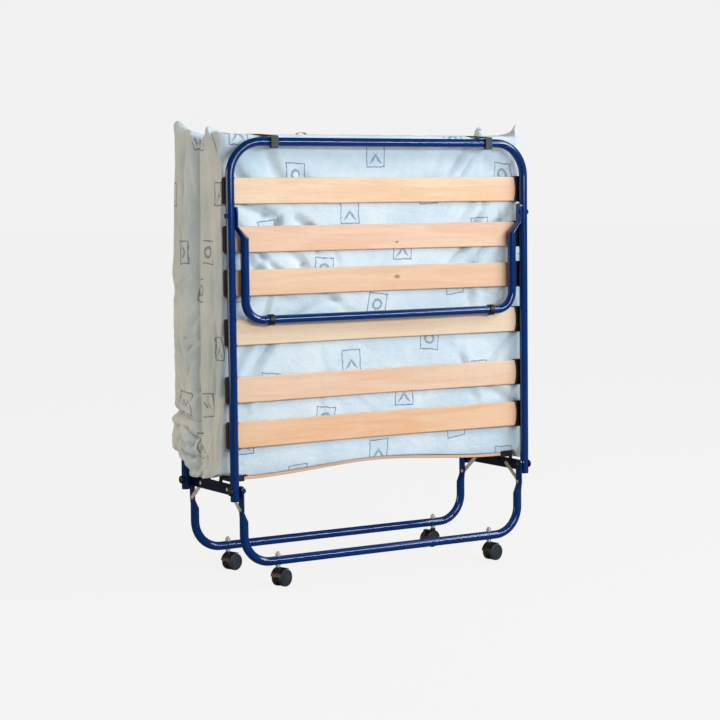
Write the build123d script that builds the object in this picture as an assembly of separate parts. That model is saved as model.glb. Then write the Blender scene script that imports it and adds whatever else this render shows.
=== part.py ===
from build123d import *
import math
import os

# Folding guest bed on casters, folded upright. Millimetres. +X is its right, -Y its front, +Z up.
# The origin is on the floor, under the middle of the bed.

# Driving dimensions
WIDTH = 900
TUBE = 22
TUBE_WALL = 1.5
PIVOT_Y = 135
PIVOT_Z = 250
RISE = 856
STUB = 23
FRAME_CORNER = 85
SLAT_RISES = (136, 248, 390, 511, 618, 737)
SLAT_WIDTH = 64
SLAT_THICK = 8
SLAT_BOW = 10
CENTRE_SLAT_BOW = 20
LEG_PIVOT_RISE = 676
LEG_LENGTH = 257
BASE_Z = 67
CASTER_X = 321
WHEEL_R = 22

R = TUBE / 2
SIDE_X = WIDTH / 2 - R
INNER_FACE_X = SIDE_X - R
TOP_Z = PIVOT_Z + RISE
SIDES = (-1, 1)

# Side bars, and the wheel legs' flattened ends beside them
BAR_OUT = INNER_FACE_X - 0.6
BAR_THICK = 2.5
BAR_BOTTOM = 234
BAR_TOP = 262
BAR_HALF = 150
BRACE_THICK = 1.8
PLATE_OUT = BAR_OUT - BAR_THICK - BRACE_THICK
PLATE_THICK = 4.2
PLATE_WIDE = 20
BASE_LEG_X = 415
BASE_CORNER = 72
ROUND_TOP_Z = 173
PLATE_FOOT_Z = 197

# Where a brace is riveted: how far inward of the leg's middle, and its height
BRACE_LOW = (4, 203)
BRACE_HIGH = (62, 247)
BRACE_WIDE = 11
RIVET_R = 2.5
RIVET_HEAD_R = 4.5
RIVET_HEAD = 1.8
BOLT_HEAD_R = 10.5
BOLT_HEAD = 6
BOLT_DOME = 5
WASHER_R = 8

# End legs, folded in the plane of each frame
LEG_X = 401
LEG_CORNER = 48
LEG_PLATE_OUT = INNER_FACE_X - 0.5
LEG_PLATE_THICK = 4.5
LEG_PLATE_WIDE = 19
LEG_ROUND_TOP = 55
LEG_PLATE_FOOT = 25
LEG_PLATE_TOP = 22
LEG_RIVET_R = 3
LEG_RIVET_HEAD_R = 6
LEG_RIVET_HEAD = 2.5
RING_X = 331
RING_THICK = 3
RING_WIDE = 15

# Slats and their holders
SLAT_Y = PIVOT_Y - R - 7.5
HOLDER_MOUTH = 419
HOLDER_END = 448
HOLDER_WALL = 3.3
HOLDER_RIM = 2.2
HOLDER_CORNER = 8
MOUTH_R = 100
MOUTH_DEPTH = 5
STUD_R = 2.9
SLAT_END = 442
CENTRE_SLAT_Y = 62
CENTRE_SLAT_Z = 275
CENTRE_SLAT_END = 420
CENTRE_MOUTH = 390
FOOT_WIDE = 9
FOOT_THICK = 3
FOOT_DROP = 12

# Mattress: two pads on the frames and the fold between them
PAD_HALF = 455
PAD_FACE = 100
PAD_GAP = 2
PAD_BOTTOM = 390
PAD_TOP = 1110
FOLD_BOTTOM = 304
FOLD_TOP = 386
FOLD_HALF_Y = 97

# Closing straps, hinged on the rear top tube and snapped over the front one
STRAP_X = 320
STRAP_WIDE = 20
STRAP_THICK = 3
STRAP_GAP = 1
STRAP_ARCH = 9
RING_CLEAR = 0.2
JAW_WALL = 4
STRAP_RING_WALL = 3.8
STRAP_SLOPE = 0.08
JAW_FOOT = 4.5
JAW_BACK = 3
JAW_MOUTH = 4

# Casters
CASTER_TRAIL = 14
WHEEL_THICK = 12
WHEEL_GAP = 4.6
AXLE_R = 2.5
CAP = 3.5
STEM_R = 4
HOOD_R = 25
HOOD_TOP = 50
RUN = 0.1
BOSS_R = 7.2
BOSS_FOOT = 14
TREAD_CLEAR = 0.8
FENDER_Z = 26
NUT_R = 7.5
NUT_TALL = 6.5
CASTER_TURNS = {"front_left": 20, "front_right": 10, "rear_left": 15, "rear_right": 190}


def along_x(radius, x0, x1, y, z):
    """A round bar along X."""
    middle = Location(((x0 + x1) / 2, y, z), (0, 90, 0))
    return middle * Cylinder(radius, abs(x1 - x0))


def along_z(radius, z0, z1, x, y):
    """A round bar along Z."""
    return Location((x, y, (z0 + z1) / 2)) * Cylinder(radius, z1 - z0)


def block(x0, x1, y0, y1, z0, z1):
    """A box between two corners."""
    middle = Location(((x0 + x1) / 2, (y0 + y1) / 2, (z0 + z1) / 2))
    return middle * Box(abs(x1 - x0), abs(y1 - y0), abs(z1 - z0))


def rod(path, radius):
    """A round solid swept along a path."""
    start = Plane(origin=path @ 0, z_dir=path % 0)
    return sweep(start * Circle(radius), path=path)


def bent_tube(points, corner, wall=TUBE_WALL):
    """A hollow tube along a bent line."""
    path = FilletPolyline(*points, radius=corner)
    return rod(path, R) - rod(path, R - wall)


def quarter_circle(radius):
    """A disc whose edge is four equal arcs, to loft from."""
    d = radius / math.sqrt(2)
    arcs = [
        ThreePointArc((d, -d), (radius, 0), (d, d)),
        ThreePointArc((d, d), (0, radius), (-d, d)),
        ThreePointArc((-d, d), (-radius, 0), (-d, -d)),
        ThreePointArc((-d, -d), (0, -radius), (d, -d)),
    ]
    return make_face(arcs)


def flat_section(thick, wide):
    """The section of a flattened end, thin along X."""
    t, w, bulge = thick / 2, wide / 2, thick / 3
    sides = [
        Line((t, -w), (t, w)),
        ThreePointArc((t, w), (0, w + bulge), (-t, w)),
        Line((-t, w), (-t, -w)),
        ThreePointArc((-t, -w), (0, -w - bulge), (t, -w)),
    ]
    return make_face(sides)


def flattened_end(x_round, z_round, x_flat, z_flat, z_top, thick, wide, y):
    """The crushed end of a tube: round at z_round, flat from z_flat to a rounded z_top."""
    low = Location((x_round, y, z_round)) * quarter_circle(R)
    high = Location((x_flat, y, z_flat)) * flat_section(thick, wide)
    neck = loft([low, high])
    reach = wide / 2 + thick / 3
    plate = block(x_flat - thick / 2, x_flat + thick / 2, y - reach, y + reach, z_flat, z_top)
    top_edges = plate.edges().filter_by(Axis.X).group_by(Axis.Z)[-1]
    return neck + fillet(top_edges, reach * 0.6)


def save(node, *solids):
    """Writes one node, as its separate solids."""
    shape = solids[0] if len(solids) == 1 else Compound(children=list(solids))
    shape.label = node
    export_step(shape, f"parts/{node}.step")


def to_rear(shape):
    """The same piece on the other side of the middle."""
    return mirror(shape, about=Plane.XZ)


def save_pair(suffix, *front):
    """Writes a piece of the front half and its mirror image at the rear."""
    save(f"front_{suffix}", *front)
    save(f"rear_{suffix}", *[to_rear(s) for s in front])


def slat_blank(half, straight, bow):
    """A bowed slat along X, bulging to +Y, with its width along Z and straight ends."""
    t = SLAT_THICK / 2
    low = Spline((-straight, -t), (0, bow - t), (straight, -t), tangents=((1, 0), (1, 0)))
    high = Spline((-straight, t), (0, bow + t), (straight, t), tangents=((1, 0), (1, 0)))
    outline = [
        Line((-half, -t), (-straight, -t)),
        low,
        Line((straight, -t), (half, -t)),
        Line((half, -t), (half, t)),
        Line((half, t), (straight, t)),
        high,
        Line((-straight, t), (-half, t)),
        Line((-half, t), (-half, -t)),
    ]
    blank = extrude(make_face(outline), SLAT_WIDTH / 2, both=True)
    long_edges = [
        e for e in blank.edges() if abs(e.center().X) < half - 1 and abs(e.center().Z) > 1
    ]
    return fillet(long_edges, 2)


def frame_tube():
    """The front half frame, drilled for its pivots and the slat holders."""
    y = -PIVOT_Y
    foot = PIVOT_Z - STUB
    points = [(-SIDE_X, y, foot), (-SIDE_X, y, TOP_Z), (SIDE_X, y, TOP_Z), (SIDE_X, y, foot)]
    tube = bent_tube(points, FRAME_CORNER)
    tube -= along_x(STEM_R + RUN, -WIDTH, WIDTH, y, PIVOT_Z)
    tube -= along_x(LEG_RIVET_R + RUN, -WIDTH, WIDTH, y, PIVOT_Z + LEG_PIVOT_RISE)
    for rise in SLAT_RISES:
        for side in SIDES:
            where = Location((side * SIDE_X, y + R, PIVOT_Z + rise), (90, 0, 0))
            tube -= where * Cylinder(STUD_R + RUN, 12)
    return tube


def tube_plug(side):
    """The plastic plug in a side tube's lower end."""
    x, y, foot = side * SIDE_X, -PIVOT_Y, PIVOT_Z - STUB
    cap = along_z(R, foot - 2, foot, x, y)
    cap = fillet(cap.edges().group_by(Axis.Z)[0], 1.2)
    return cap + along_z(R - TUBE_WALL, foot, foot + 10, x, y)


def holder(side, z):
    """A slat holder: a pocket with a curved mouth, its stud in the side tube."""
    half_z = SLAT_WIDTH / 2 + HOLDER_RIM
    y0 = -SLAT_Y - SLAT_THICK / 2 - HOLDER_WALL
    y1 = -SLAT_Y + SLAT_THICK / 2 + HOLDER_WALL
    shell = block(side * HOLDER_MOUTH, side * HOLDER_END, y0, y1, z - half_z, z + half_z)
    end = Axis.X if side > 0 else Axis((0, 0, 0), (-1, 0, 0))
    shell = fillet(shell.edges().filter_by(Axis.Y).group_by(end)[-1], HOLDER_CORNER)
    shell = fillet(shell.edges().group_by(end)[0], 1)
    pocket_y = SLAT_THICK / 2
    pocket_z = SLAT_WIDTH / 2
    pocket = block(
        side * (HOLDER_MOUTH - 5), side * SLAT_END,
        -SLAT_Y - pocket_y, -SLAT_Y + pocket_y, z - pocket_z, z + pocket_z,
    )
    mouth_x = side * (HOLDER_MOUTH + MOUTH_DEPTH - MOUTH_R)
    mouth = Location((mouth_x, -SLAT_Y, z), (90, 0, 0))
    shell -= pocket
    shell -= mouth * Cylinder(MOUTH_R, TUBE)
    stud = Location((side * SIDE_X, y0 - 2.5, z), (90, 0, 0)) * Cylinder(STUD_R, 7)
    return shell + stud


def end_leg():
    """The front end leg, a U that hangs from its flattened ends."""
    y = -PIVOT_Y
    pivot = PIVOT_Z + LEG_PIVOT_RISE
    bar = pivot - LEG_LENGTH
    top = pivot - LEG_ROUND_TOP
    tube = bent_tube([(-LEG_X, y, top), (-LEG_X, y, bar), (LEG_X, y, bar), (LEG_X, y, top)],
                     LEG_CORNER)
    x_flat = LEG_PLATE_OUT - LEG_PLATE_THICK / 2
    for side in SIDES:
        tube += flattened_end(side * LEG_X, top, side * x_flat, pivot - LEG_PLATE_FOOT,
                              pivot + LEG_PLATE_TOP, LEG_PLATE_THICK, LEG_PLATE_WIDE, y)
    return tube - along_x(LEG_RIVET_R + RUN, -WIDTH, WIDTH, y, pivot)


def ring_foot(side):
    """A plastic ring near a corner of the end leg, which meets the floor when it is out."""
    y, z = -PIVOT_Y, PIVOT_Z + LEG_PIVOT_RISE - LEG_LENGTH
    x0, x1 = side * RING_X - RING_WIDE / 2, side * RING_X + RING_WIDE / 2
    ring = along_x(R + RING_THICK, x0, x1, y, z)
    ring = fillet(ring.edges(), 1.2)
    return ring - along_x(R, x0 - 1, x1 + 1, y, z)


def leg_rivet(side):
    """The rivet that an end leg turns on, headed on both sides."""
    y, z = -PIVOT_Y, PIVOT_Z + LEG_PIVOT_RISE
    outside = WIDTH / 2 + 0.2
    inside = LEG_PLATE_OUT - LEG_PLATE_THICK - 0.4
    rivet = along_x(LEG_RIVET_R, side * inside, side * outside, y, z)
    for x0, x1 in ((inside - LEG_RIVET_HEAD, inside), (outside, outside + LEG_RIVET_HEAD)):
        rivet += along_x(LEG_RIVET_HEAD_R, side * x0, side * x1, y, z)
    return rivet


def wheel_leg():
    """The front wheel leg, a U with flattened ends beside the side bars."""
    y = -PIVOT_Y
    leg = bent_tube([(-BASE_LEG_X, y, ROUND_TOP_Z), (-BASE_LEG_X, y, BASE_Z),
                     (BASE_LEG_X, y, BASE_Z), (BASE_LEG_X, y, ROUND_TOP_Z)], BASE_CORNER)
    x_flat = PLATE_OUT - PLATE_THICK / 2
    for side in SIDES:
        leg += flattened_end(side * BASE_LEG_X, ROUND_TOP_Z, side * x_flat, PLATE_FOOT_Z,
                             BAR_TOP, PLATE_THICK, PLATE_WIDE, y)
        leg -= along_z(STEM_R, BASE_Z - TUBE, BASE_Z + TUBE, side * CASTER_X, y)
    leg -= along_x(STEM_R, -WIDTH, WIDTH, y, PIVOT_Z)
    return leg - along_x(RIVET_R, -WIDTH, WIDTH, y + BRACE_LOW[0], BRACE_LOW[1])


def side_bar(side):
    """The flat bar that joins the four pivots of one side."""
    x0, x1 = side * (BAR_OUT - BAR_THICK), side * BAR_OUT
    bar = block(x0, x1, -BAR_HALF, BAR_HALF, BAR_BOTTOM, BAR_TOP)
    bar = fillet(bar.edges().filter_by(Axis.X), 9)
    for end in SIDES:
        bar -= along_x(STEM_R, -WIDTH, WIDTH, end * PIVOT_Y, PIVOT_Z)
        bar -= along_x(RIVET_R, -WIDTH, WIDTH, end * (PIVOT_Y - BRACE_HIGH[0]), BRACE_HIGH[1])
    return bar


def brace(side):
    """A front zinc brace, from the side bar down to the leg's flat end."""
    low = Vector(0, -PIVOT_Y + BRACE_LOW[0], BRACE_LOW[1])
    high = Vector(0, -PIVOT_Y + BRACE_HIGH[0], BRACE_HIGH[1])
    run = high - low
    tilt = math.degrees(math.atan2(run.Z, run.Y))
    middle = (low + high) * 0.5
    x = side * (PLATE_OUT + BRACE_THICK / 2)
    strip = Box(BRACE_THICK, run.length + BRACE_WIDE, BRACE_WIDE)
    strip = Location((x, middle.Y, middle.Z), (tilt, 0, 0)) * strip
    strip = fillet(strip.edges().filter_by(Axis.X), 5)
    for point in (low, high):
        strip -= along_x(RIVET_R, x - BRACE_THICK, x + BRACE_THICK, point.Y, point.Z)
    return strip


def brace_rivets(side):
    """The two rivets of a front brace, headed on both sides."""
    spans = (
        (BRACE_LOW, PLATE_OUT - PLATE_THICK, PLATE_OUT + BRACE_THICK),
        (BRACE_HIGH, PLATE_OUT, BAR_OUT),
    )
    rivets = []
    for (inward, z), x0, x1 in spans:
        y = -PIVOT_Y + inward
        rivet = along_x(RIVET_R, side * x0, side * x1, y, z)
        rivet += along_x(RIVET_HEAD_R, side * (x0 - RIVET_HEAD), side * x0, y, z)
        rivet += along_x(RIVET_HEAD_R, side * x1, side * (x1 + RIVET_HEAD), y, z)
        rivets.append(rivet)
    return rivets


def pivot_bolt(side):
    """A front pivot bolt: domed head, shank, spacer washer and nut."""
    y, z = -PIVOT_Y, PIVOT_Z
    outside = WIDTH / 2 + 0.3
    nut_face = PLATE_OUT - PLATE_THICK
    bolt = along_x(STEM_R, side * (nut_face - NUT_TALL - 2.5), side * outside, y, z)
    head = along_x(BOLT_HEAD_R, side * outside, side * (outside + BOLT_HEAD), y, z)
    far = Axis.X if side > 0 else Axis((0, 0, 0), (-1, 0, 0))
    bolt += fillet(head.edges().group_by(far)[-1], BOLT_DOME)
    turn = Location((side * (nut_face - NUT_TALL), y, z), (0, side * 90, 0))
    bolt += turn * extrude(RegularPolygon(NUT_R, 6), NUT_TALL)
    return bolt + along_x(WASHER_R, side * PLATE_OUT, side * (PLATE_OUT + BRACE_THICK), y, z)


def centre_slat():
    """The front one of the two slats over the fold, bowed upward."""
    blank = slat_blank(CENTRE_SLAT_END, CENTRE_MOUTH - 2, CENTRE_SLAT_BOW)
    return Location((0, -CENTRE_SLAT_Y, CENTRE_SLAT_Z), (90, 0, 0)) * blank


def centre_holder(side):
    """A holder of a front centre slat, standing on the side bar on two feet."""
    half = SLAT_WIDTH / 2 + HOLDER_RIM
    y0, y1 = -CENTRE_SLAT_Y - half, -CENTRE_SLAT_Y + half
    tall = SLAT_THICK / 2 + HOLDER_WALL
    low, high = CENTRE_SLAT_Z - tall, CENTRE_SLAT_Z + tall
    shell = block(side * CENTRE_MOUTH, side * BAR_OUT, y0, y1, low, high)
    shell = fillet(shell.edges().filter_by(Axis.Z), 3)
    shell -= block(side * (CENTRE_MOUTH - 5), side * CENTRE_SLAT_END, y0 + HOLDER_RIM,
                   y1 - HOLDER_RIM, CENTRE_SLAT_Z - SLAT_THICK / 2,
                   CENTRE_SLAT_Z + SLAT_THICK / 2)
    face = BAR_OUT - BAR_THICK
    back = face - FOOT_THICK
    for foot_y in (y0, y1 - FOOT_WIDE):
        ends = (foot_y, foot_y + FOOT_WIDE)
        shell += block(side * back, side * BAR_OUT, *ends, BAR_TOP, low)
        shell += block(side * back, side * face, *ends, BAR_TOP - FOOT_DROP, low)
    return shell


def strap(side):
    """A closing strap: a ring round the rear top tube and an arched arm to the front."""
    ring_r = R + RING_CLEAR + STRAP_RING_WALL
    ring = along_x(ring_r, -STRAP_WIDE / 2, STRAP_WIDE / 2, PIVOT_Y, TOP_Z)
    under = TOP_Z + R + STRAP_GAP
    front = -PIVOT_Y - R - JAW_WALL
    low = Spline((front, under), (0, under + STRAP_ARCH), (PIVOT_Y, TOP_Z + ring_r - STRAP_THICK),
                 tangents=((1, STRAP_SLOPE), (1, -STRAP_SLOPE)))
    high = low.moved(Location((0, STRAP_THICK)))
    ends = [Line(low @ 0, high @ 0), Line(low @ 1, high @ 1)]
    arm = extrude(Plane.YZ * make_face([low, high, *ends]), STRAP_WIDE / 2, both=True)
    whole = ring + arm - along_x(R + RING_CLEAR, -STRAP_WIDE, STRAP_WIDE, PIVOT_Y, TOP_Z)
    return Location((side * STRAP_X, 0, 0)) * whole


def strap_jaw(side):
    """The springy jaw at a strap's front end, closed round the front top tube."""
    y, bore = -PIVOT_Y, R + RING_CLEAR
    under = TOP_Z + R + STRAP_GAP
    front, foot = y - R - JAW_WALL, TOP_Z - bore - JAW_FOOT
    half = STRAP_WIDE / 2
    jaw = block(-half, half, front, y + JAW_BACK, foot, under)
    jaw = fillet(jaw.edges().filter_by(Axis.X).group_by(Axis.Z)[0], 1.5)
    jaw -= along_x(bore, -half - 1, half + 1, y, TOP_Z)
    jaw -= block(-half - 1, half + 1, y - JAW_MOUTH, y + JAW_MOUTH, foot - 1, TOP_Z)
    return Location((side * STRAP_X, 0, 0)) * jaw


def pad(y0, y1, z0, z1, half, soft):
    """A plain padded block with rounded edges."""
    shape = block(-half, half, y0, y1, z0, z1)
    return fillet(shape.edges(), soft)


def caster_stem(side):
    """A front caster's threaded stem with its flange and nut, fixed in the wheel leg."""
    x, y = side * CASTER_X, -PIVOT_Y
    bottom, top = BASE_Z - R, BASE_Z + R
    stem = along_z(STEM_R, HOOD_TOP - 30, top + 11, x, y)
    stem += Location((x, y, bottom - 3)) * extrude(RegularPolygon(NUT_R, 6), 3)
    stem += Location((x, y, top)) * extrude(RegularPolygon(NUT_R, 6), NUT_TALL)
    return stem


def caster_place(corner):
    """The place and turn of one caster, whose own swivel axis is Z at its origin."""
    x = CASTER_X if corner.endswith("right") else -CASTER_X
    y = -PIVOT_Y if corner.startswith("front") else PIVOT_Y
    return Location((x, y, 0), (0, 0, CASTER_TURNS[corner]))


def caster_hood():
    """The hood between and over the wheels, with the boss that turns on the stem."""
    web_half = WHEEL_GAP - 0.4
    over = WHEEL_GAP + WHEEL_THICK
    room_r = WHEEL_R + TREAD_CLEAR
    turn = Location((CASTER_TRAIL, 0, WHEEL_R), (90, 0, 0))
    web = turn * Cylinder(WHEEL_R - 4, 2 * web_half)
    wheel_room = turn * (Cylinder(room_r, 2 * over + 2) - Cylinder(room_r, 2 * web_half))
    boss = along_z(BOSS_R, BOSS_FOOT, HOOD_TOP, 0, 0) - wheel_room
    neck_top = WHEEL_R + HOOD_R - 1.5
    neck = block(-STEM_R, CASTER_TRAIL, -web_half, web_half, BOSS_FOOT, neck_top)
    fender = turn * (Cylinder(HOOD_R, 2 * over) - Cylinder(room_r, 2 * over + 1))
    fender = fender & block(-HOOD_R, CASTER_TRAIL + 8, -over, over, FENDER_Z, HOOD_TOP)
    hood = web + neck + boss + fender
    hood -= along_z(STEM_R + RUN, HOOD_TOP - 30.5, HOOD_TOP + 1, 0, 0)
    return hood - turn * Cylinder(AXLE_R, 4 * over)


def caster_axle():
    """The axle pressed into the hood, with a wheel on each end."""
    length = 2 * (WHEEL_GAP + WHEEL_THICK - CAP - RUN)
    return Location((CASTER_TRAIL, 0, WHEEL_R), (90, 0, 0)) * Cylinder(AXLE_R, length)


def caster_wheel(side):
    """One wheel, with rounded treads, a ring pressed in its outer face and a blind bore."""
    face = WHEEL_GAP + WHEEL_THICK
    disc = Cylinder(WHEEL_R, WHEEL_THICK)
    disc = fillet(disc.edges(), 2.5)
    ring = Cylinder(WHEEL_R - 5, 2) - Cylinder(WHEEL_R - 7, 2)
    disc -= Location((0, 0, WHEEL_THICK / 2)) * ring
    disc -= Location((0, 0, -CAP)) * Cylinder(AXLE_R + RUN, WHEEL_THICK)
    wheel = Location((CASTER_TRAIL, -face + WHEEL_THICK / 2, WHEEL_R), (90, 0, 0)) * disc
    return wheel if side < 0 else mirror(wheel, about=Plane.XZ)


def main():
    os.makedirs("parts", exist_ok=True)

    save_pair("frame_tube", frame_tube())
    save_pair("tube_plugs", *[tube_plug(s) for s in SIDES])
    save_pair("slat_holders", *[holder(s, PIVOT_Z + rise) for rise in SLAT_RISES for s in SIDES])
    blank = slat_blank(SLAT_END, HOLDER_MOUTH - 2, SLAT_BOW)
    for number, rise in enumerate(SLAT_RISES, 1):
        save_pair(f"slat_{number}", Location((0, -SLAT_Y, PIVOT_Z + rise)) * blank)
    save_pair("leg_rivets", *[leg_rivet(s) for s in SIDES])

    save_pair("end_leg", end_leg())
    save_pair("ring_feet", *[ring_foot(s) for s in SIDES])

    save_pair("wheel_leg", wheel_leg())
    for side, name in zip(SIDES, ("left", "right")):
        save(f"side_bar_{name}", side_bar(side))
        save(f"closing_strap_{name}", strap(side))
        save(f"strap_jaw_{name}", strap_jaw(side))
    front = {
        "leg_braces": [brace(s) for s in SIDES],
        "brace_rivets": [r for s in SIDES for r in brace_rivets(s)],
        "pivot_bolts": [pivot_bolt(s) for s in SIDES],
        "centre_slat_holders": [centre_holder(s) for s in SIDES],
        "caster_stems": [caster_stem(s) for s in SIDES],
    }
    for node, solids in front.items():
        save(node, *solids, *[to_rear(s) for s in solids])
    save_pair("centre_slat", centre_slat())

    save_pair("mattress_pad", pad(-PAD_FACE, -PAD_GAP, PAD_BOTTOM, PAD_TOP, PAD_HALF, 22))
    save("mattress_fold", pad(-FOLD_HALF_Y, FOLD_HALF_Y, FOLD_BOTTOM, FOLD_TOP, PAD_HALF - 5, 22))

    hood, axle = caster_hood(), caster_axle()
    wheels = {"near": caster_wheel(-1), "far": caster_wheel(1)}
    for corner in CASTER_TURNS:
        place = caster_place(corner)
        save(f"{corner}_caster_hood", place * hood)
        save(f"{corner}_caster_axle", place * axle)
        for which, wheel in wheels.items():
            save(f"{corner}_caster_{which}_wheel", place * wheel)


main()
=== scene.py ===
import math

import bpy
import numpy as np
from mathutils import Matrix, Vector


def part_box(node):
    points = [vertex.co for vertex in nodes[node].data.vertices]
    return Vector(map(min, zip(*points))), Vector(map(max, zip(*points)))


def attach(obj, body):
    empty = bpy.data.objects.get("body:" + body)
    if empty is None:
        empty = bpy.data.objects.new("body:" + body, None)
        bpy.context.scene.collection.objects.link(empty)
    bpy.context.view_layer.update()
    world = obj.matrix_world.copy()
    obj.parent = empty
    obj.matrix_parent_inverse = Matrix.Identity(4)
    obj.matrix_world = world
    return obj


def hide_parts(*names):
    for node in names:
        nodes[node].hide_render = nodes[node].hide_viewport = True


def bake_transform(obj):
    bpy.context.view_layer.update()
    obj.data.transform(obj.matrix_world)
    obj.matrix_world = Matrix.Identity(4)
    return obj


# Looks of a folded guest bed: painted tubes, beech slats, plastic fittings and a loose ticking mattress.
# Metres. +X is the bed's right, -Y its front, +Z up, and the floor is Z = 0.

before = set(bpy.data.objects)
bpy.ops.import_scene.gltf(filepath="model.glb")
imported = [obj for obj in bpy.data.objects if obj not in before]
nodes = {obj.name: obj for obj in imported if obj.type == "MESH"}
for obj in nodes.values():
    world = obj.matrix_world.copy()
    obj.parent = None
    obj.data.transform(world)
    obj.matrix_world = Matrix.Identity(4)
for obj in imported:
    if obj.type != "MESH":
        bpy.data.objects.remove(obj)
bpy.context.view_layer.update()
scene = bpy.context.scene


# ---- node helpers -------------------------------------------------------------------------

class Shader:
    """A node material under construction, or the nodes of a given tree."""

    def __init__(self, name, tree=None):
        self.tree = tree
        if tree is None:
            self.material = bpy.data.materials.new(name)
            self.material.use_nodes = True
            self.tree = self.material.node_tree
            self.bsdf = self.tree.nodes["Principled BSDF"]

    def add(self, kind, inputs=(), **settings):
        node = self.tree.nodes.new(kind)
        for key, value in settings.items():
            setattr(node, key, value)
        for key, value in dict(inputs).items():
            self.set(node.inputs[key], value)
        return node

    def set(self, socket, value):
        if isinstance(value, bpy.types.NodeSocket):
            self.tree.links.new(value, socket)
        else:
            socket.default_value = value

    def math(self, operation, a, b=0.0, c=0.0):
        node = self.add("ShaderNodeMath", {0: a, 1: b, 2: c}, operation=operation)
        return node.outputs[0]

    def fade(self, value, low, high):
        """0 below low, 1 above high, smooth between; low may be the larger one."""
        node = self.add("ShaderNodeMapRange", {"Value": value, "From Min": low, "From Max": high},
                        interpolation_type="SMOOTHSTEP")
        return node.outputs[0]

    def place(self, scale=(1, 1, 1), turn=(0, 0, 0), shift=(0, 0, 0), source="Object"):
        coords = self.add("ShaderNodeTexCoord")
        mapping = self.add("ShaderNodeMapping", {"Vector": coords.outputs[source]})
        mapping.inputs["Scale"].default_value = scale
        mapping.inputs["Rotation"].default_value = turn
        mapping.inputs["Location"].default_value = shift
        return mapping.outputs[0]

    def noise(self, where, scale, detail=3.0, roughness=0.5, distortion=0.0):
        node = self.add("ShaderNodeTexNoise", {"Vector": where, "Scale": scale, "Detail": detail,
                                               "Roughness": roughness, "Distortion": distortion})
        return node.outputs[0]

    def mix(self, factor, a, b, blend="MIX"):
        node = self.add("ShaderNodeMix", data_type="RGBA", blend_type=blend)
        self.set(node.inputs["Factor"], factor)
        self.set(node.inputs[6], a)
        self.set(node.inputs[7], b)
        return node.outputs[2]

    def surface(self, **values):
        for key, value in values.items():
            self.set(self.bsdf.inputs[key.replace("_", " ")], value)

    def bump(self, height, strength, distance):
        node = self.add("ShaderNodeBump", {"Height": height, "Strength": strength,
                                           "Distance": distance})
        self.tree.links.new(node.outputs[0], self.bsdf.inputs["Normal"])


def rgb(r, g, b):
    return (r, g, b, 1.0)


# ---- materials ----------------------------------------------------------------------------

def paint(name, colour, deep):
    """Gloss paint on steel: a faint orange peel, small tone changes and a few rubbed specks."""
    s = Shader(name)
    cloud = s.noise(s.place(), 9.0, 3.0)
    base = s.mix(cloud, rgb(*deep), rgb(*colour))
    scuffs = s.noise(s.place((1, 1, 0.25)), 130.0, 4.0, 0.7)
    worn = s.fade(scuffs, 0.70, 0.76)
    base = s.mix(s.math("MULTIPLY", worn, 0.10), base, rgb(0.08, 0.14, 0.28))
    s.surface(Base_Color=base, Coat_Weight=0.25, Coat_Roughness=0.06, Specular_IOR_Level=0.5)
    grime = s.noise(s.place(), 40.0, 5.0, 0.6)
    s.surface(Roughness=s.add("ShaderNodeMapRange", {"Value": grime, "To Min": 0.09,
                                                     "To Max": 0.17}).outputs[0])
    s.bump(s.noise(s.place(), 420.0, 2.0), 0.05, 0.0006)
    return s.material


def zinc(name, tint, roughness):
    """Zinc plate: dull spangle, fine brushing and a few dark spots."""
    s = Shader(name)
    spangle = s.add("ShaderNodeTexVoronoi", {"Vector": s.place(), "Scale": 520.0})
    tone = s.math("MULTIPLY_ADD", spangle.outputs["Distance"], 0.35, 0.80)
    grey = s.add("ShaderNodeCombineColor", {0: tone, 1: tone, 2: tone}).outputs[0]
    base = s.mix(1.0, rgb(*tint), grey, "MULTIPLY")
    spots = s.fade(s.noise(s.place(), 160.0, 4.0, 0.65), 0.62, 0.72)
    base = s.mix(s.math("MULTIPLY", spots, 0.35), base, rgb(0.22, 0.20, 0.17))
    rough = s.add("ShaderNodeMapRange", {"Value": s.noise(s.place((1, 1, 6)), 200.0, 3.0),
                                         "To Min": roughness, "To Max": roughness + 0.2})
    s.surface(Base_Color=base, Metallic=0.45, Roughness=rough.outputs[0])
    s.bump(s.noise(s.place((1, 1, 8)), 500.0, 2.0), 0.12, 0.0004)
    return s.material


def plastic(name, colour, light, roughness):
    """Moulded plastic: fine spark-eroded grain, dusty in places."""
    s = Shader(name)
    dust = s.fade(s.noise(s.place(), 28.0, 5.0, 0.6), 0.42, 0.75)
    base = s.mix(s.math("MULTIPLY", dust, 0.5), rgb(*colour), rgb(*light))
    rough = s.add("ShaderNodeMapRange", {"Value": s.noise(s.place(), 60.0, 4.0),
                                         "To Min": roughness, "To Max": roughness + 0.18})
    s.surface(Base_Color=base, Roughness=rough.outputs[0])
    s.bump(s.noise(s.place(), 900.0, 2.0), 0.16, 0.0004)
    return s.material


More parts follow.
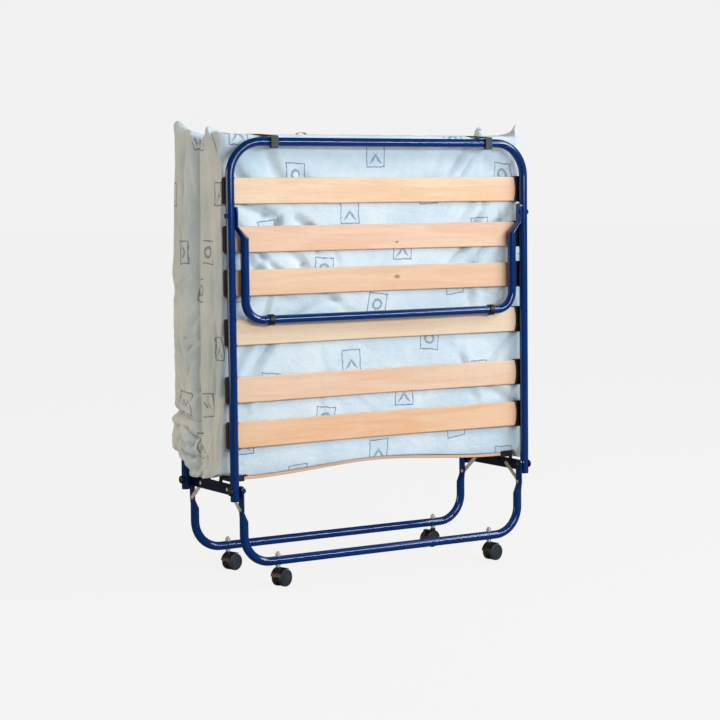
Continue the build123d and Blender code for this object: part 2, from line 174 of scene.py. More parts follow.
def beech(name, pale, warm, amount, seed, knots=()):
    """Steamed beech: long soft figure, fine grain lines and short dark flecks along X."""
    s = Shader(name)
    shift = (seed * 1.7, seed * 0.31, seed * 0.77)
    bend = s.noise(s.place((1.3, 6, 6), shift=shift), 1.6, 3.0, 0.55, 0.6)
    figure = s.noise(s.place((0.9, 15, 15), shift=shift), 2.4, 4.0, 0.6, 1.2)
    tone = s.fade(s.math("MULTIPLY_ADD", figure, 0.65, s.math("MULTIPLY", bend, 0.35)), 0.40, 0.60)
    tone = s.math("MULTIPLY_ADD", tone, amount, 0.5 - amount / 2)
    pale, warm = [tuple(0.945 * part for part in colour) for colour in (pale, warm)]
    base = s.mix(tone, rgb(*pale), rgb(*warm))
    lines = s.fade(s.noise(s.place((3.5, 160, 160), shift=shift), 3.2, 4.0, 0.7), 0.46, 0.72)
    base = s.mix(s.math("MULTIPLY", lines, 0.32), base, rgb(0.66, 0.36, 0.18))
    flecks = s.fade(s.noise(s.place((70, 620, 620), shift=shift), 2.0, 2.0, 0.5), 0.60, 0.70)
    base = s.mix(s.math("MULTIPLY", flecks, 0.30), base, rgb(0.50, 0.26, 0.12))
    coords = s.add("ShaderNodeSeparateXYZ", {0: s.add("ShaderNodeTexCoord").outputs["Object"]})
    for x, z, r in knots:
        dx = s.math("MULTIPLY", s.math("SUBTRACT", coords.outputs[0], x), 0.6)
        dz = s.math("SUBTRACT", coords.outputs[2], z)
        far = s.math("SQRT", s.math("ADD", s.math("MULTIPLY", dx, dx), s.math("MULTIPLY", dz, dz)))
        ring = s.fade(far, r, r * 0.3)
        base = s.mix(s.math("MULTIPLY", ring, 0.75), base, rgb(0.24, 0.10, 0.04))
    rough = s.add("ShaderNodeMapRange", {"Value": lines, "To Min": 0.36, "To Max": 0.55})
    s.surface(Base_Color=base, Roughness=rough.outputs[0], Coat_Weight=0.12, Coat_Roughness=0.3)
    pores = s.math("ADD", s.math("MULTIPLY", lines, -0.6), s.math("MULTIPLY", flecks, -0.4))
    s.bump(pores, 0.25, 0.0003)
    return s.material


def ticking(name):
    """Cotton ticking printed with small slightly crooked boxes, each round a plain figure, with painted
    shade in its creases and hollows.
    """
    s = Shader(name)
    uv = s.add("ShaderNodeSeparateXYZ", {0: s.add("ShaderNodeUVMap", uv_map="cut").outputs[0]})
    u, v = uv.outputs[0], uv.outputs[1]
    step_u, rise, step_v = 0.076, 0.135, 0.360  # columns across, how much each is lifted, rows up
    box_half, thread = 0.0255, 0.0011
    column = s.math("ROUND", s.math("DIVIDE", u, step_u))
    lifted = s.math("SUBTRACT", v, s.math("MULTIPLY", column, rise))
    row = s.math("ROUND", s.math("DIVIDE", lifted, step_v))
    x = s.math("SUBTRACT", u, s.math("MULTIPLY", column, step_u))
    y = s.math("SUBTRACT", lifted, s.math("MULTIPLY", row, step_v))
    cell = s.add("ShaderNodeCombineXYZ", {0: column, 1: row, 2: 0.37}).outputs[0]
    chance = s.add("ShaderNodeTexWhiteNoise", {"Vector": cell}, noise_dimensions="3D")
    pick, tilt = chance.outputs["Value"], chance.outputs["Color"]
    tilt = s.add("ShaderNodeSeparateColor", {0: tilt})
    angle = s.math("MULTIPLY", s.math("SUBTRACT", tilt.outputs[0], 0.5), 0.26)
    ca, sa = s.math("COSINE", angle), s.math("SINE", angle)
    px = s.math("ADD", s.math("MULTIPLY", x, ca), s.math("MULTIPLY", y, sa))
    py = s.math("SUBTRACT", s.math("MULTIPLY", y, ca), s.math("MULTIPLY", x, sa))
    skew = s.math("MULTIPLY", s.math("SUBTRACT", tilt.outputs[1], 0.5), 0.2)
    px = s.math("ADD", px, s.math("MULTIPLY", py, skew))
    wobble = s.math("MULTIPLY", s.math("SUBTRACT", s.noise(s.place(source="UV"), 55.0, 2.0), 0.5), 0.006)
    ax, ay = s.math("ABSOLUTE", px), s.math("ABSOLUTE", py)
    edge = s.math("ADD", s.math("MAXIMUM", ax, s.math("MULTIPLY", ay, 0.96)), wobble)
    frame_line = s.fade(s.math("ABSOLUTE", s.math("SUBTRACT", edge, box_half)), 0.0018, 0.0009)
    far = s.math("SQRT", s.math("ADD", s.math("MULTIPLY", px, px), s.math("MULTIPLY", py, py)))
    far = s.math("ADD", far, wobble)
    # A ring, two leaf strokes or a small wave, one of them in each box
    ring = s.fade(s.math("ABSOLUTE", s.math("SUBTRACT", far, 0.0112)), 0.0042, 0.0026)
    leaf = 0.0
    for side in (-1, 1):
        lx = s.math("ABSOLUTE", s.math("ADD", px, side * 0.007))
        slope = s.math("ABSOLUTE", s.math("SUBTRACT", py, s.math("MULTIPLY", px, side * 1.1)))
        blade = s.math("ADD", slope, s.math("MULTIPLY", lx, 0.45))
        leaf = s.math("MAXIMUM", leaf, s.fade(blade, 0.0066, 0.0048))
    wave_y = s.math("MULTIPLY", s.math("SINE", s.math("MULTIPLY", px, 360.0)), 0.005)
    wave = s.fade(s.math("ABSOLUTE", s.math("SUBTRACT", py, wave_y)), 0.0042, 0.0026)
    wave = s.math("MULTIPLY", wave, s.fade(ax, 0.016, 0.0145))
    first = s.math("LESS_THAN", pick, 0.34)
    third = s.math("GREATER_THAN", pick, 0.67)
    second = s.math("SUBTRACT", 1.0, s.math("ADD", first, third))
    figure = s.math("ADD", s.math("MULTIPLY", ring, first), s.math("MULTIPLY", leaf, second))
    figure = s.math("ADD", figure, s.math("MULTIPLY", wave, third))
    patchy = s.fade(s.noise(s.place(source="UV"), 240.0, 3.0, 0.6), 0.30, 0.62)
    ink = s.math("MULTIPLY", s.math("MAXIMUM", frame_line, s.math("MULTIPLY", figure, 0.8)),
                 s.math("MULTIPLY_ADD", patchy, 0.50, 0.42))
    wash = s.fade(edge, 0.0262, 0.0245)
    cloud = s.fade(s.noise(s.place(), 7.0, 5.0, 0.62), 0.25, 0.72)
    base = s.mix(cloud, rgb(0.560, 0.725, 0.845), rgb(0.760, 0.870, 0.940))
    base = s.mix(s.math("MULTIPLY", wash, 0.14), base, rgb(0.50, 0.68, 0.80))
    base = s.mix(ink, base, rgb(0.050, 0.135, 0.27))
    # Painted shade: where the surface is hollow, in creases, folds and the groove, the cloth colour is
    # darkened towards grey.
    painted_crease_shade = s.fade(s.add("ShaderNodeNewGeometry").outputs["Pointiness"], 0.494, 0.430)
    base = s.mix(s.math("MULTIPLY", painted_crease_shade, 0.55), base, rgb(0.25, 0.27, 0.275))
    thread_u = s.math("SINE", s.math("MULTIPLY", u, 2 * math.pi / thread))
    thread_v = s.math("SINE", s.math("MULTIPLY", v, 2 * math.pi / thread))
    slub = s.noise(s.place((700, 30, 1), source="UV"), 1.0, 3.0, 0.7)
    weave = s.math("MULTIPLY", thread_u, thread_v)
    base = s.mix(s.math("MULTIPLY", s.math("MULTIPLY_ADD", weave, 0.5, 0.5), 0.07), base,
                 rgb(0.42, 0.52, 0.60))
    base = s.mix(s.math("MULTIPLY", s.fade(slub, 0.55, 0.75), 0.10), base, rgb(0.90, 0.95, 0.97))
    s.surface(Base_Color=base, Roughness=0.92, Sheen_Weight=0.15, Sheen_Roughness=0.5)
    crease = s.noise(s.place((1, 1, 1.6)), 26.0, 5.0, 0.62, 0.3)
    height = s.math("ADD", s.math("MULTIPLY", crease, 9.0), s.math("MULTIPLY", weave, 0.25))
    s.bump(height, 0.5, 0.0011)
    return s.material


BLUE = paint("blue_paint", (0.0010, 0.033, 0.180), (0.0008, 0.024, 0.130))
NAVY = paint("navy_paint", (0.002, 0.009, 0.036), (0.0015, 0.006, 0.024))
ZINC = zinc("zinc_plate", (0.80, 0.79, 0.74), 0.28)
STEEL = zinc("bright_steel", (0.72, 0.72, 0.72), 0.22)
BOLT = plastic("bolt_black", (0.010, 0.012, 0.022), (0.05, 0.05, 0.06), 0.32)
BLACK = plastic("black_nylon", (0.004, 0.004, 0.005), (0.018, 0.018, 0.020), 0.38)
STRAP = plastic("strap_nylon", (0.020, 0.021, 0.024), (0.075, 0.078, 0.085), 0.42)
HOOD = plastic("hood_plastic", (0.006, 0.007, 0.010), (0.03, 0.03, 0.035), 0.33)
WHEEL = plastic("wheel_plastic", (0.018, 0.024, 0.038), (0.07, 0.08, 0.10), 0.40)
TICKING = ticking("ticking")


def tape(name):
    """Undyed cotton tape: a rib across it every 1.2 mm, a little soiled."""
    s = Shader(name)
    soil = s.noise(s.place(), 90.0, 4.0, 0.6)
    along = s.add("ShaderNodeSeparateXYZ", {0: s.place()}).outputs[0]
    rib = s.math("SINE", s.math("MULTIPLY", along, 5200.0))
    base = s.mix(soil, rgb(0.56, 0.50, 0.40), rgb(0.70, 0.65, 0.56))
    s.surface(Base_Color=base, Roughness=0.9, Sheen_Weight=0.1)
    s.bump(rib, 0.3, 0.0003)
    return s.material


TAPE = tape("cotton_tape")

# Pale and warm tone, how strong the figure is, seed, and knots as (x, z, radius)
BEECH = {
    "slat_6": ((0.89, 0.67, 0.46), (0.87, 0.54, 0.31), 0.85, 1),
    "slat_5": ((0.89, 0.63, 0.45), (0.85, 0.50, 0.32), 0.75, 2, ((0.055, 0.853, 0.0045),)),
    "slat_4": ((0.89, 0.63, 0.43), (0.84, 0.51, 0.31), 0.70, 3, ((0.055, 0.764, 0.0075),)),
    "slat_3": ((0.88, 0.71, 0.53), (0.84, 0.62, 0.42), 0.6, 4),
    "slat_2": ((0.90, 0.66, 0.49), (0.86, 0.54, 0.36), 0.75, 5),
    "slat_1": ((0.91, 0.62, 0.41), (0.89, 0.49, 0.27), 0.8, 6),
    "centre": ((0.84, 0.58, 0.40), (0.74, 0.42, 0.24), 0.6, 7),
}
WOODS = {key: beech("beech_" + (key[-1] if key[-1].isdigit() else "c"), *row)
         for key, row in BEECH.items()}


def cad_material(name):
    """The material of a CAD node, by its name."""
    if name.endswith(("frame_tube", "end_leg", "wheel_leg", "leg_rivets")):
        return BLUE
    if name.startswith("side_bar"):
        return NAVY
    if name in ("leg_braces", "brace_rivets"):
        return ZINC
    if name == "caster_stems" or name.endswith("_axle"):
        return STEEL
    if name == "pivot_bolts":
        return BOLT
    if name.endswith("centre_slat"):
        return WOODS["centre"]
    if "slat_" in name and name[-1].isdigit():
        return WOODS[name[-6:]]
    if name.endswith("_hood"):
        return HOOD
    if name.endswith("_wheel"):
        return WHEEL
    if name.startswith(("closing_strap", "strap_jaw")):
        return STRAP
    return BLACK


for name, node in nodes.items():
    for index in range(len(node.material_slots)):
        node.material_slots[index].material = cad_material(name)
    if not node.material_slots:
        node.data.materials.append(cad_material(name))


# ---- mattress -----------------------------------------------------------------------------

CELL = 0.010                # cloth cells before they are halved
EDGE_R = 0.014              # rounding of the cover's edges
SIM_FRAMES = 26
LOOSE = 0.045               # how much larger the cover is than its foam
SLAT_THICK = 0.008
SLAT_BOW_X = 0.417          # where a slat's bow ends
CENTRE_BOW_X = 0.388
HOLDER_X = 0.412            # the slat holders start here, and the side rails at RAIL_X
RAIL_X = 0.453
HOLDER_TOP = 0.2838         # of the centre slats' holders
ARM_Z = 1.1165              # underside of the strap arms at their ends
NOTCH_Z, NOTCH_DEPTH = 0.364, 0.021
CORNER_Z = 0.45             # the low left corner is reshaped below this
FARTHEST_X = -0.4905
PAD_LOW, PAD_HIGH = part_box("front_mattress_pad")
SLAT_LOW, SLAT_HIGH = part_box("front_centre_slat")
OUT_Y = -PAD_LOW.y + 0.002
TOP_Z = PAD_HIGH.z + 0.008
LOW_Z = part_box("mattress_fold")[0].z - 0.008
STRAP_X = sum(p.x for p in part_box("closing_strap_right")) / 2

# Each half of the mattress, looked at from outside: its left and right ends, and its raised top corners
# as (end, inward from the outer face, lift, spread along the top)
HALVES = {
    "front": {"left": -0.455, "right": 0.450, "seed": 3,
              "ears": ((-1, 0.045, 0.012, 0.024), (1, 0.014, 0.030, 0.022))},
    "rear": {"left": -0.472, "right": 0.452, "seed": 11,
             "ears": ((-1, 0.018, 0.018, 0.034), (1, 0.016, 0.030, 0.024))},
}

# The crumpled low corner: centre as (inward, z), size and height
CRUMPLE = {"front": ((-0.012, 0.330), 0.058, 0.0075), "rear": ((0.046, 0.352), 0.074, 0.0210)}

# Pleats: how many, the patch they start in, their length, width and height, and their lean as
# (mean, spread, share mirrored). On a face the patch is x and z, on a side y and z.
FACE_PLEATS = (
    (30, (-0.42, 0.42, 0.33, 1.08), (0.06, 0.16), (0.009, 0.017), (0.0026, 0.0062), (0.95, 0.35, 0.45)),
    (9, (-0.43, -0.16, 0.68, 1.09), (0.10, 0.19), (0.014, 0.021), (0.0070, 0.0120), (2.35, 0.16, 0.0)),
    (6, (0.28, 0.43, 0.74, 1.10), (0.08, 0.15), (0.011, 0.017), (0.0055, 0.0095), (0.80, 0.20, 0.0)),
    (5, (-0.42, -0.20, 0.42, 0.66), (0.08, 0.16), (0.012, 0.018), (0.0045, 0.0080), (0.72, 0.18, 0.0)),
)
LONG_PLEATS = (
    (14, (-0.095, -0.01, 0.42, 1.06), (0.08, 0.20), (0.005, 0.010), (0.0015, 0.0035), (1.52, 0.10, 0.5)),
)
SIDE_PLEATS = {"front": LONG_PLEATS, "rear": LONG_PLEATS + (
    (7, (-0.05, -0.012, 0.42, 0.78), (0.022, 0.042), (0.006, 0.009), (0.0060, 0.0100), (1.0, 0.35, 0.0)),
    (4, (-0.07, -0.02, 0.85, 1.08), (0.05, 0.09), (0.007, 0.011), (0.0040, 0.0070), (1.45, 0.12, 0.0)),
)}


def smooth(value, low, high):
    """0 at low, 1 at high and beyond, smooth between."""
    t = np.clip((value - low) / (high - low), 0, 1)
    return t * t * (3 - 2 * t)


def bump_at(value, centre, width):
    """1 at centre, fading to 0 over about two widths either way."""
    return np.exp(-((value - centre) / width) ** 2)


def box_cloth(name, low, high, radius, spacing):
    """A closed box of square cells with rounded edges and one continuous cut as its UV map."""
    low, high = np.array(low), np.array(high)
    counts = np.maximum(2, np.round((high - low) / spacing).astype(int))
    index, points, faces, cuts = {}, [], [], []

    def vertex(i, j, k):
        key = (i, j, k)
        if key not in index:
            p = low + (high - low) * np.array(key) / counts
            q = np.clip(p, low + radius, high - radius)
            d = p - q
            length = np.linalg.norm(d)
            index[key] = len(points)
            points.append(q + d / length * radius if length > 1e-9 else p)
        return index[key]

    def face(corners, cut):
        faces.append([vertex(*c) for c in corners])
        cuts.extend(cut(low + (high - low) * np.array(c) / counts) for c in corners)

    nx, ny, nz = counts
    for i in range(nx):
        for k in range(nz):
            square = [(i, k), (i + 1, k), (i + 1, k + 1), (i, k + 1)]
            face([(a, 0, b) for a, b in square], lambda p: (p[0], p[2]))
            face([(a, ny, b) for a, b in square[::-1]], lambda p: (p[0] + 3.1, p[2]))
        for j in range(ny):
            square = [(i, j), (i + 1, j), (i + 1, j + 1), (i, j + 1)]
            face([(a, b, nz) for a, b in square], lambda p: (p[0], high[2] + p[1] - low[1]))
            face([(a, b, 0) for a, b in square[::-1]], lambda p: (p[0], low[2] - p[1] + low[1]))
    for j in range(ny):
        for k in range(nz):
            square = [(j, k), (j + 1, k), (j + 1, k + 1), (j, k + 1)]
            face([(nx, a, b) for a, b in square], lambda p: (high[0] + p[1] - low[1], p[2]))
            face([(0, a, b) for a, b in square[::-1]], lambda p: (low[0] - p[1] + low[1], p[2]))
    mesh = bpy.data.meshes.new(name)
    mesh.from_pydata([tuple(p) for p in points], [], faces)
    layer = mesh.uv_layers.new(name="cut")
    layer.data.foreach_set("uv", np.array(cuts, np.float32).ravel())
    obj = bpy.data.objects.new(name, mesh)
    scene.collection.objects.link(obj)
    return obj


def coords(obj):
    co = np.empty(len(obj.data.vertices) * 3)
    obj.data.vertices.foreach_get("co", co)
    return co.reshape(-1, 3)


def set_coords(obj, co):
    obj.data.vertices.foreach_set("co", np.ascontiguousarray(co, np.float32).ravel())
    obj.data.update()


def evaluated(obj):
    """Vertex coordinates with the modifiers at work."""
    graph = bpy.context.evaluated_depsgraph_get()
    shown = obj.evaluated_get(graph)
    mesh = shown.to_mesh()
    co = np.empty(len(mesh.vertices) * 3)
    mesh.vertices.foreach_get("co", co)
    shown.to_mesh_clear()
    return co.reshape(-1, 3)


def settle(obj, low, high, pinned):
    """Drapes a loose cover over its foam block by cloth simulation, and keeps the result."""
    group = obj.vertex_groups.new(name="held")
    group.add([int(i) for i in pinned], 1.0, "REPLACE")
    mesh = bpy.data.meshes.new("foam_0")
    corners = [(x, y, z) for x in (low[0], high[0]) for y in (low[1], high[1])
               for z in (low[2], high[2])]
    mesh.from_pydata(corners, [], [(0, 1, 3, 2), (4, 6, 7, 5), (0, 4, 5, 1), (2, 3, 7, 6),
                                   (0, 2, 6, 4), (1, 5, 7, 3)])
    foam = bpy.data.objects.new("foam_0", mesh)
    scene.collection.objects.link(foam)
    foam.modifiers.new("hit", "COLLISION")
    foam.collision.thickness_outer = 0.004
    foam.collision.cloth_friction = 12
    modifier = obj.modifiers.new("drape", "CLOTH")
    cloth = modifier.settings
    cloth.quality = 6
    cloth.mass = 0.25
    cloth.tension_stiffness = 12
    cloth.compression_stiffness = 12
    cloth.shear_stiffness = 4
    cloth.bending_stiffness = 0.35
    cloth.air_damping = 2.0
    cloth.use_pressure = True
    cloth.uniform_pressure_force = 0.25
    cloth.vertex_group_mass = "held"
    cloth.shrink_min = -LOOSE
    modifier.collision_settings.distance_min = 0.003
    modifier.collision_settings.use_self_collision = False
    modifier.point_cache.frame_start = 1
    modifier.point_cache.frame_end = SIM_FRAMES + 1
    for number in range(1, SIM_FRAMES + 1):
        scene.frame_set(number)
        evaluated(obj)
    co = evaluated(obj)
    obj.modifiers.remove(modifier)
    obj.vertex_groups.remove(group)
    bpy.data.objects.remove(foam)
    scene.frame_set(1)
    set_coords(obj, co)


def refine(obj):
    """Applies one level of subdivision, so the piece is final."""
    modifier = obj.modifiers.new("fine", "SUBSURF")
    modifier.levels = modifier.render_levels = 1
    modifier.uv_smooth = "PRESERVE_BOUNDARIES"
    graph = bpy.context.evaluated_depsgraph_get()
    mesh = bpy.data.meshes.new_from_object(obj.evaluated_get(graph))
    obj.modifiers.remove(modifier)
    obj.data = mesh
    for polygon in mesh.polygons:
        polygon.use_smooth = True
    mesh.materials.clear()
    mesh.materials.append(TICKING)


def bowed(x, end_x):
    """How far a slat's curve has come back: 0 in its middle, 1 at end_x and beyond."""
    t = np.clip(np.abs(x) / end_x, 0, 1)
    return 3 * t**2 - 2 * t**3


def slat_back(x):
    """How far back the front's bowed slats reach at x."""
    low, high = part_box("front_slat_3")
    return high.y - (high.y - low.y - SLAT_THICK) * bowed(x, SLAT_BOW_X)


def under_pad(x, y):
    """The lowest that the cover may hang over the centre slats, their holders and beside them."""
    bow = SLAT_HIGH.z - SLAT_LOW.z - SLAT_THICK
    over_slat = SLAT_HIGH.z + 0.001 - bow * bowed(x, CENTRE_BOW_X)
    level = np.where(np.abs(x) > 0.386, np.maximum(over_slat, HOLDER_TOP), over_slat)
    between = 1 - smooth(np.abs(y), 0.016, 0.028)
    beside = smooth(np.abs(x), 0.432, 0.446)
    return level - 0.003 * between - 0.020 * beside


def pleats(co, panel, rng, table):
    """Soft pleats on the panel (two axes), each a ridge beside a shallow valley, as a shift a point."""
    a, b = co[:, panel[0]], co[:, panel[1]]
    shift = np.zeros(len(co))
    for count, patch, lengths, widths, heights, (lean, spread, mirrored) in table:
        for _ in range(count):
            ca = rng.uniform(patch[0], patch[1])
            cb = rng.uniform(patch[2], patch[3])
            angle = rng.normal(lean, spread)
            if rng.random() < mirrored:
                angle = math.pi - angle
            length, wide, tall = rng.uniform(*lengths), rng.uniform(*widths), rng.uniform(*heights)
            along = (a - ca) * math.cos(angle) + (b - cb) * math.sin(angle)
            across = (b - cb) * math.cos(angle) - (a - ca) * math.sin(angle)
            across = across + 0.10 * along**2 / length
            taper = np.exp(-((along / length) ** 4)) * (1 - 0.35 * np.clip(along / length, -1, 1))
            ridge = bump_at(across, 0, wide)
            valley = bump_at(across, 1.4 * wide, 0.9 * wide)
            shift -= tall * taper * (ridge - 0.85 * valley)
    return shift


def folds(value):
    """Round ridges with sharp creases between them, from -0.6 to 0.4."""
    return np.abs(np.sin(value)) ** 0.65 - 0.6


def sculpt(co, end):
    """The large forms: flat side panels with a dark gap between the halves, raised ends, low corner."""
    deep = -co[:, 1]
    z = co[:, 2]
    slow = 0.5 + 0.5 * np.sin(z * 9.0 + (0.4 if end == "front" else 2.2))
    left = smooth(-co[:, 0], 0.405, 0.450)
    right = smooth(co[:, 0], 0.405, 0.445)
    if end == "front":
        flat = -0.459 + 0.11 * deep + 0.009 * smooth(z, 0.6, 1.1)
    else:
        flat = -0.4765 + 0.036 * smooth(-deep, -0.036, -0.006) + 0.004 * smooth(z, 0.7, 1.05)
    near = smooth(-co[:, 0], 0.424, 0.438) * smooth(-deep, -0.106, -0.094) * 0.9
    near = near * smooth(-z, -(TOP_Z - 0.006), -(TOP_Z - 0.030)) * smooth(z, 0.295, 0.315)
    co[:, 0] += (flat - co[:, 0]) * near
    if end == "front":
        side = 0.004 * bump_at(deep, 0.045, 0.02) * slow
    else:
        side = 0.006 * bump_at(deep, 0.040, 0.016) * smooth(z, 0.93, 1.06)
        side += 0.002 * np.sin(z * 21.0 + deep * 40.0) * bump_at(deep, 0.045, 0.03)
    co[:, 0] += left * side
    co[:, 0] -= right * (0.010 * bump_at(deep, 0.0, 0.03) + 0.004 * slow * bump_at(deep, 0.055, 0.02))
    # each face pulls in a little along its ends
    co[:, 1] += 0.003 * smooth(np.abs(co[:, 0]), 0.435, 0.465) * smooth(deep, 0.06, 0.10)
    # the top swells between the straps, and the seam stands up along the left end
    top = smooth(z, 1.070, 1.112)
    co[:, 2] += 0.012 * top * smooth(deep, 0.004, 0.030)
    crest = bump_at(co[:, 0], -0.468, 0.020) * top
    if end == "rear":
        co[:, 2] += crest * (0.012 + 0.006 * smooth(deep, 0.01, 0.085))
    else:
        co[:, 2] += crest * 0.008 * bump_at(deep, 0.060, 0.03)
    # the low left corner rises towards the back
    rise = 0.066 * smooth(deep, 0.010, 0.105) if end == "rear" else 0.018 * smooth(deep, 0.02, 0.09)
    share = np.clip((CORNER_Z - co[:, 2]) / (CORNER_Z - 0.290), 0, 1)
    wanted = CORNER_Z - share * (CORNER_Z - 0.272 - rise)
    corner = smooth(-co[:, 0], 0.400, 0.440) * (co[:, 2] < CORNER_Z)
    co[:, 2] += (wanted - co[:, 2]) * corner
    return co


def crease(co, end):
    """Drag lines and creases, on the refined mesh."""
    rng = np.random.default_rng(HALVES[end]["seed"])
    deep = -co[:, 1]
    z = co[:, 2]
    left = smooth(-co[:, 0], 0.420, 0.452)
    face = smooth(deep, 0.072, 0.096)
    co[:, 1] += pleats(co, (0, 2), rng, FACE_PLEATS) * face
    co[:, 0] += pleats(co, (1, 2), rng, SIDE_PLEATS[end]) * left
    # the crumpled low corner: a bulge with folds that curl round one point
    hub, size, amount = CRUMPLE[end]
    far = np.hypot(deep - hub[0], z - hub[1])
    turn = np.arctan2(z - hub[1], deep - hub[0])
    reach = smooth(-far, -size, -0.040) * smooth(-deep, -0.100, -0.074)
    curl = folds(turn * 1.5 + far * 78 + 0.4) + 0.5 * folds(turn * 2.0 - far * 120 + 1.9)
    co[:, 0] -= left * reach * amount * curl
    if end == "rear":
        co[:, 0] -= left * 0.017 * bump_at(deep, 0.085, 0.045) * bump_at(z, 0.354, 0.036)
        over = z - 0.405 - 0.25 * (deep - 0.05)
        pinch = 0.012 * bump_at(over, 0.014, 0.009) - 0.008 * bump_at(over, -0.006, 0.010)
        co[:, 0] += left * pinch * smooth(deep, 0.005, 0.03)
    co[:, 0] = np.maximum(co[:, 0], FARTHEST_X)
    return co


def cover_half(end):
    """One half of the folded mattress. The rear one is built in front and mirrored at the end."""
    facts = HALVES[end]
    low, high = (facts["left"], -OUT_Y, LOW_Z), (facts["right"], -0.0015, TOP_Z)
    cover = box_cloth(f"{end}_mattress", low, high, EDGE_R, CELL)
    co = coords(cover)
    pinned = []
    for side, inward, lift, spread in facts["ears"]:
        corner = np.array([low[0] + 0.006 if side < 0 else high[0] - 0.006, -OUT_Y + inward, TOP_Z])
        near = (co - corner) / np.array([spread, spread * 0.8, 0.040])
        pull = np.exp(-(near**2).sum(1))
        co[:, 2] += lift * pull * 1.15
        co[:, 0] += side * 0.010 * pull
        pinned += list(np.flatnonzero(pull > 0.62))
    set_coords(cover, co)
    foam_low = (low[0] + 0.010, low[1] + 0.006, low[2] + 0.010)
    foam_high = (high[0] - 0.012, high[1] - 0.004, high[2] - 0.010)
    settle(cover, foam_low, foam_high, pinned)
    set_coords(cover, sculpt(coords(cover), end))
    refine(cover)
    co = crease(coords(cover), end)
    # the strap arms hold the top down
    arm = ARM_Z + 0.009 * (1 - np.clip(np.abs(co[:, 1]) / 0.135, 0, 1) ** 2)
    for side in (-1, 1):
        press = np.minimum(1, 1.6 * np.exp(-(((co[:, 0] - side * STRAP_X) / 0.026) ** 4)))
        co[:, 2] += np.minimum(0, arm - co[:, 2]) * press
    # the face stays behind the slats, because the mattress slides along them as the bed is opened
    limit = slat_back(co[:, 0]) + 0.0014
    limit = np.where(np.abs(co[:, 0]) > HOLDER_X, np.maximum(limit, -0.1080), limit)
    limit = np.where(np.abs(co[:, 0]) > RAIL_X, -0.1175, limit)
    gap, soft = co[:, 1] - limit, 0.004
    co[:, 1] = np.where(gap < soft, limit + soft * np.exp(np.minimum(gap - soft, 0) / soft), co[:, 1])
    co[:, 1] = np.minimum(co[:, 1], -0.0006)
    co[:, 2] = np.maximum(co[:, 2], under_pad(co[:, 0], co[:, 1]))
    # the inner face stands off the crease, so that it can turn when the bed is opened
    inner = smooth(co[:, 1], -0.030, -0.008) * smooth(-np.abs(co[:, 0]), -0.440, -0.415)
    above, below = smooth(-co[:, 2], -0.455, -NOTCH_Z), smooth(co[:, 2], 0.335, NOTCH_Z)
    co[:, 1] -= NOTCH_DEPTH * inner * np.where(co[:, 2] > NOTCH_Z, above, below)
    set_coords(cover, co)
    if end == "rear":
        cover.data.transform(Matrix.Scale(-1, 4, (0, 1, 0)))
        cover.data.flip_normals()
    return cover


front = cover_half("front")
rear = cover_half("rear")

for cover, end, sign in ((front, "front", -1), (rear, "rear", 1)):
    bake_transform(cover)
    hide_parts(f"{end}_mattress_pad")
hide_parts("mattress_fold")


def loop_tab(name, middle, radius, width, thick):
    """A small webbing loop that stands on the mattress top, its two ends sewn into the seam."""
    steps, rows = 20, []
    for k in range(steps + 1):
        angle = math.pi * (k / steps)
        x = middle.x - radius * math.cos(angle) * (1 + 0.12 * math.sin(angle))
        z = middle.z + 0.85 * radius * math.sin(angle)
        out = Vector((-math.cos(angle), 0, math.sin(angle))) * thick / 2
        centre = Vector((x, middle.y + 0.002 * math.sin(2 * angle), z))
        wide = Vector((0, width / 2, 0))
        rows.append([centre + out + wide, centre + out - wide,
                     centre - out - wide, centre - out + wide])
    points = [p for row in rows for p in row]
    faces = [(4 * k + a, 4 * k + (a + 1) % 4, 4 * k + 4 + (a + 1) % 4, 4 * k + 4 + a)
             for k in range(steps) for a in range(4)]
    faces += [(3, 2, 1, 0), tuple(4 * steps + a for a in range(4))]
    mesh = bpy.data.meshes.new(name)
    mesh.from_pydata([tuple(p) for p in points], [], faces)
    obj = bpy.data.objects.new(name, mesh)
    scene.collection.objects.link(obj)
    mesh.materials.append(TAPE)
    return obj


tab = loop_tab("loop_tab", Vector((-0.190, -0.052, TOP_Z + 0.004)), 0.0135, 0.012, 0.0014)
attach(tab, "mattress_front")


# ---- stage --------------------------------------------------------------------------------

def area_light(name, size, power, place, target, colour):
    light = bpy.data.lights.new(name, "AREA")
    light.shape = "RECTANGLE"
    light.size, light.size_y = size
    light.energy = power
    light.color = colour
    obj = bpy.data.objects.new(name, light)
    scene.collection.objects.link(obj)
    obj.location = place
    obj.rotation_euler = (Vector(target) - Vector(place)).to_track_quat("-Z", "Y").to_euler()
    return obj


area_light("key", (1.9, 1.4), 62, (0.1, -4.6, 1.7), (0, 0, 0.6), (0.95, 0.98, 1.0))
area_light("strip", (2.6, 0.36), 104, (2.7, -4.5, 1.9), (0, 0, 0.8), (0.93, 0.97, 1.0))
area_light("rake", (1.4, 1.4), 84, (3.5, -2.5, 3.2), (0, 0, 0.6), (0.94, 0.98, 1.0))
area_light("left_fill", (2.2, 2.2), 66, (-4.4, 1.4, 1.2), (0, 0, 0.6), (1.0, 0.78, 0.52))

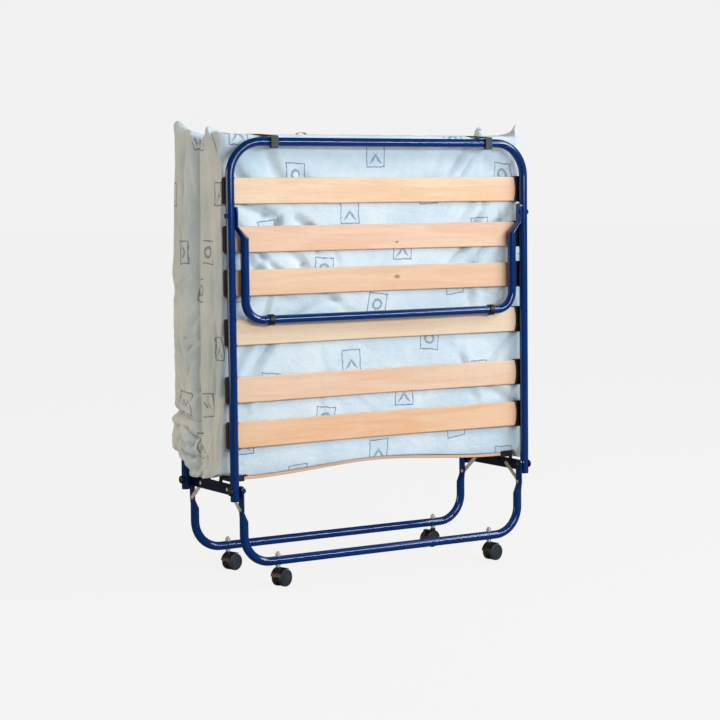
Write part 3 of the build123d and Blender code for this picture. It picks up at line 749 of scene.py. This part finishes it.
# The backdrop and the floor show one pale tone; what they shine on the object is softer, cooler from the
# front and right, and warmer and dimmer from the left.
PALE = 0.885
world = bpy.data.worlds.new("studio")
scene.world = world
world.use_nodes = True
sky = Shader("studio", world.node_tree)
towards = sky.add("ShaderNodeSeparateXYZ", {0: sky.add("ShaderNodeTexCoord").outputs["Generated"]})
from_left = sky.fade(towards.outputs[0], 0.30, -0.30)
ambient = sky.mix(from_left, rgb(0.50, 0.535, 0.57), rgb(0.42, 0.31, 0.21))
soft = sky.add("ShaderNodeBackground", {0: ambient})
mirrored = sky.add("ShaderNodeBackground", {0: rgb(0.010, 0.018, 0.040)})
backdrop = sky.tree.nodes["Background"]
sky.set(backdrop.inputs[0], rgb(PALE, PALE, PALE))
rays = sky.add("ShaderNodeLightPath").outputs
lit = sky.add("ShaderNodeMixShader",
              {0: rays["Is Glossy Ray"], 1: soft.outputs[0], 2: mirrored.outputs[0]})
seen = sky.add("ShaderNodeMixShader",
               {0: rays["Is Camera Ray"], 1: lit.outputs[0], 2: backdrop.outputs[0]})
sky.tree.links.new(seen.outputs[0], sky.tree.nodes["World Output"].inputs[0])

floor_mesh = bpy.data.meshes.new("floor")
floor_mesh.from_pydata([(-60, -60, 0), (60, -60, 0), (60, 60, 0), (-60, 60, 0)], [], [(0, 1, 2, 3)])
floor = bpy.data.objects.new("floor", floor_mesh)
scene.collection.objects.link(floor)
ground = Shader("pale_floor")
rays = ground.add("ShaderNodeLightPath").outputs
strength = ground.math("MULTIPLY_ADD", rays["Is Camera Ray"], PALE - 0.31, 0.28)
strength = ground.math("MULTIPLY_ADD", rays["Is Glossy Ray"], -0.255, strength)
glow = ground.add("ShaderNodeEmission", {"Color": rgb(1, 1, 1), "Strength": strength})
ground.surface(Base_Color=rgb(0.055, 0.055, 0.055), Roughness=0.9, Specular_IOR_Level=0.0)
both = ground.add("ShaderNodeAddShader", {0: glow.outputs[0], 1: ground.bsdf.outputs[0]})
ground.tree.links.new(both.outputs[0], ground.tree.nodes["Material Output"].inputs[0])
floor_mesh.materials.append(ground.material)

camera = bpy.data.cameras.new("view")
camera.sensor_width = 36
camera.lens = 97.97
camera.clip_end = 200
eye = bpy.data.objects.new("view", camera)
scene.collection.objects.link(eye)
yaw, pitch, roll = 0.5467, 0.0793, -0.0115
ahead = Vector((math.sin(yaw) * math.cos(pitch), math.cos(yaw) * math.cos(pitch), -math.sin(pitch)))
across = Vector((math.cos(yaw), -math.sin(yaw), 0))
above = across.cross(ahead)
right = across * math.cos(roll) + above * math.sin(roll)
up = above * math.cos(roll) - across * math.sin(roll)
axes = Matrix((right, up, -ahead)).transposed()
eye.matrix_world = Matrix.Translation((-2.6558, -4.3765, 0.9507)) @ axes.to_4x4()
scene.camera = eye
scene.view_settings.view_transform = "Standard"
